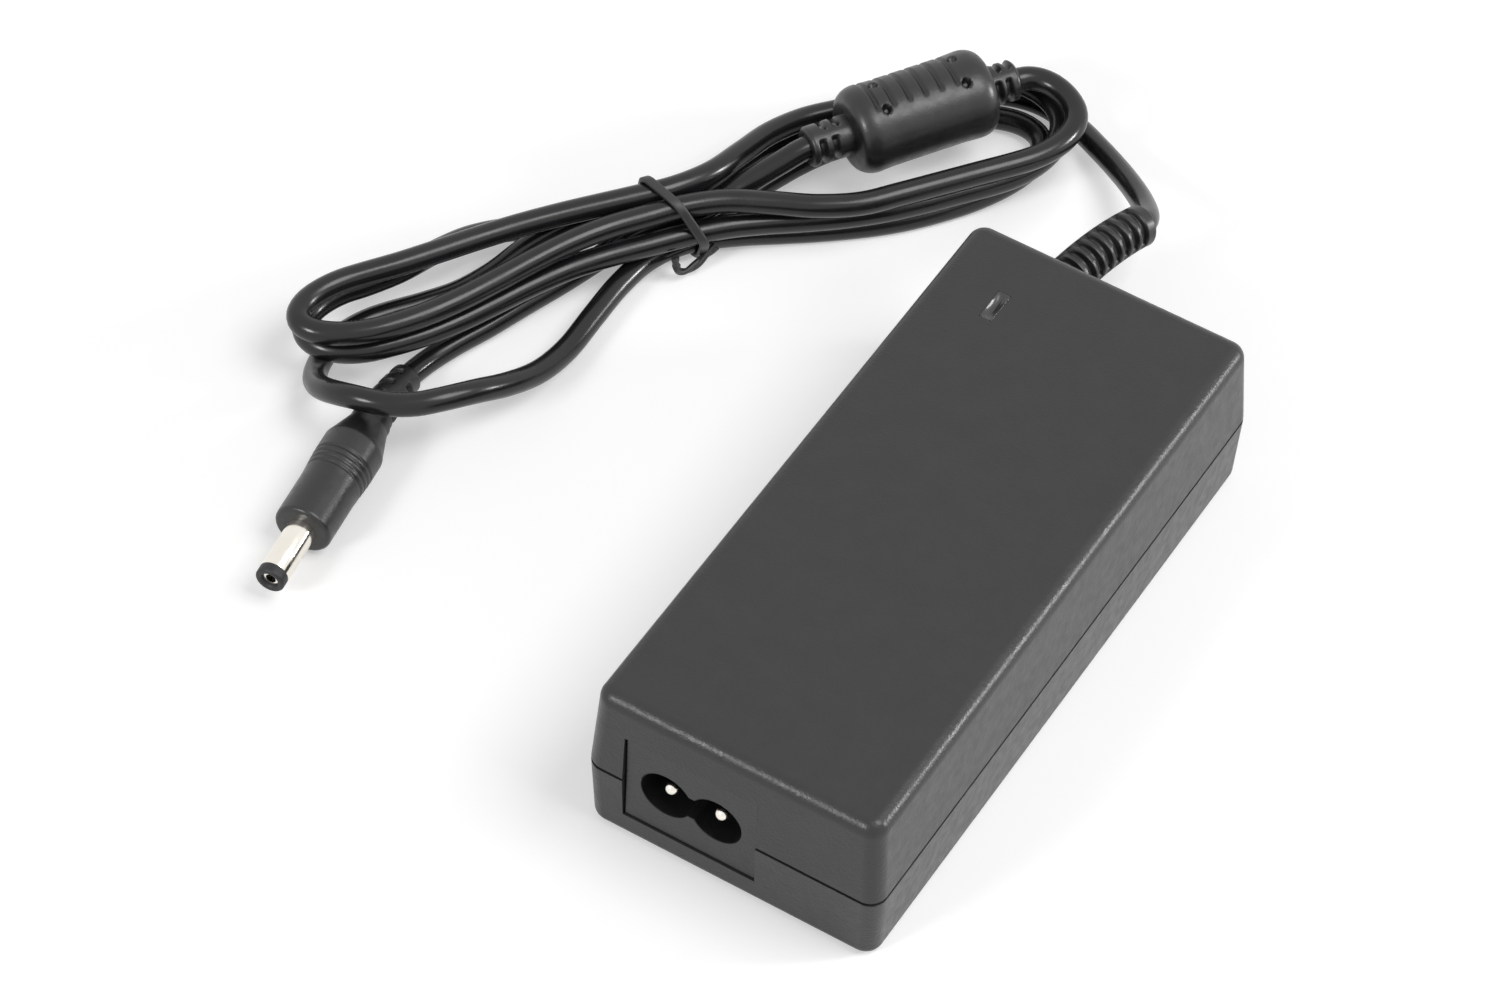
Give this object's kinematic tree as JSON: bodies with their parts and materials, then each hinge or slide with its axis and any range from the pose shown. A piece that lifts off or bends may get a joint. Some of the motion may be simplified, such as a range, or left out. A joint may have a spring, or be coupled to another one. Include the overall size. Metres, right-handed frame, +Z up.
{
  "type": "laptop power adapter",
  "caption": "Laptop power adapter: plastic brick with a figure-8 mains inlet, a light, and a tied hank of DC cord with a ferrite and a barrel plug.",
  "frame": {"origin": "middle of the brick's underside", "axes": "+Y from the mains inlet to the cord's exit along the brick's length, +X across it, +Z up out of the top cover"},
  "size_m": [0.1385, 0.1638, 0.0302],
  "materials": {
    "case_plastic": "fine spark-eroded texture, dark grey",
    "inlet_plastic": "smooth, black",
    "nickel": "bright nickel plate",
    "lens": "smoked light guide, smooth",
    "led_epoxy": "clear epoxy",
    "cord_pvc": "soft PVC, satin black",
    "moulded_pvc": "moulded PVC, satin black",
    "tie_plastic": "plastic-covered wire strip, black",
    "ferrite": "sintered, dark grey",
    "board": "green laminate with solder mask",
    "sheet": "thin insulating film",
    "wire_brown": "wire insulation",
    "wire_blue": "wire insulation",
    "wire_red": "wire insulation",
    "wire_black": "wire insulation",
    "part_black": "moulded epoxy",
    "part_blue": "dipped coating",
    "part_green": "dipped coating",
    "part_yellow": "film wrap",
    "copper": "enamelled copper wire",
    "capacitor_sleeve": "shrink sleeve",
    "heatsink": "plain sheet"
  },
  "bodies": {
    "root": {"top_cover": "case_plastic", "bottom_cover": "case_plastic", "inlet_housing": "inlet_plastic", "inlet_pin_left": "nickel", "inlet_pin_right": "nickel", "led_lens": "lens", "led": "led_epoxy", "output_strain_relief": "cord_pvc", "dc_cord_lead": "cord_pvc", "dc_cord_hank": "cord_pvc", "dc_cord_plug_lead": "cord_pvc", "cord_tie": "tie_plastic", "ferrite_overmould": "moulded_pvc", "ferrite_core": "ferrite", "plug_grip": "moulded_pvc", "plug_strain_relief": "moulded_pvc", "plug_barrel": "nickel", "plug_tip_insulator": "inlet_plastic", "plug_centre_contact": "nickel", "main_board": "board", "insulating_sheet": "sheet", "inlet_lead_left": "wire_brown", "inlet_lead_right": "wire_blue", "fuse": "part_black", "varistor": "part_blue", "thermistor": "part_green", "x_capacitor": "part_yellow", "choke_core": "ferrite", "choke_winding_left": "copper", "choke_winding_right": "copper", "bridge_rectifier": "part_black", "bulk_capacitor": "capacitor_sleeve", "controller_chip": "part_black", "primary_heatsink": "heatsink", "switching_transistor": "part_black", "transformer_core": "ferrite", "transformer_bobbin": "part_black", "transformer_winding": "copper", "transformer_tape": "part_yellow", "y_capacitor": "part_blue", "optocoupler": "part_black", "output_rectifier": "part_black", "secondary_heatsink": "heatsink", "output_capacitor_front": "capacitor_sleeve", "output_capacitor_rear": "capacitor_sleeve", "output_choke": "copper", "output_wire_positive": "wire_red", "output_wire_negative": "wire_black"}
  },
  "joints": []
}
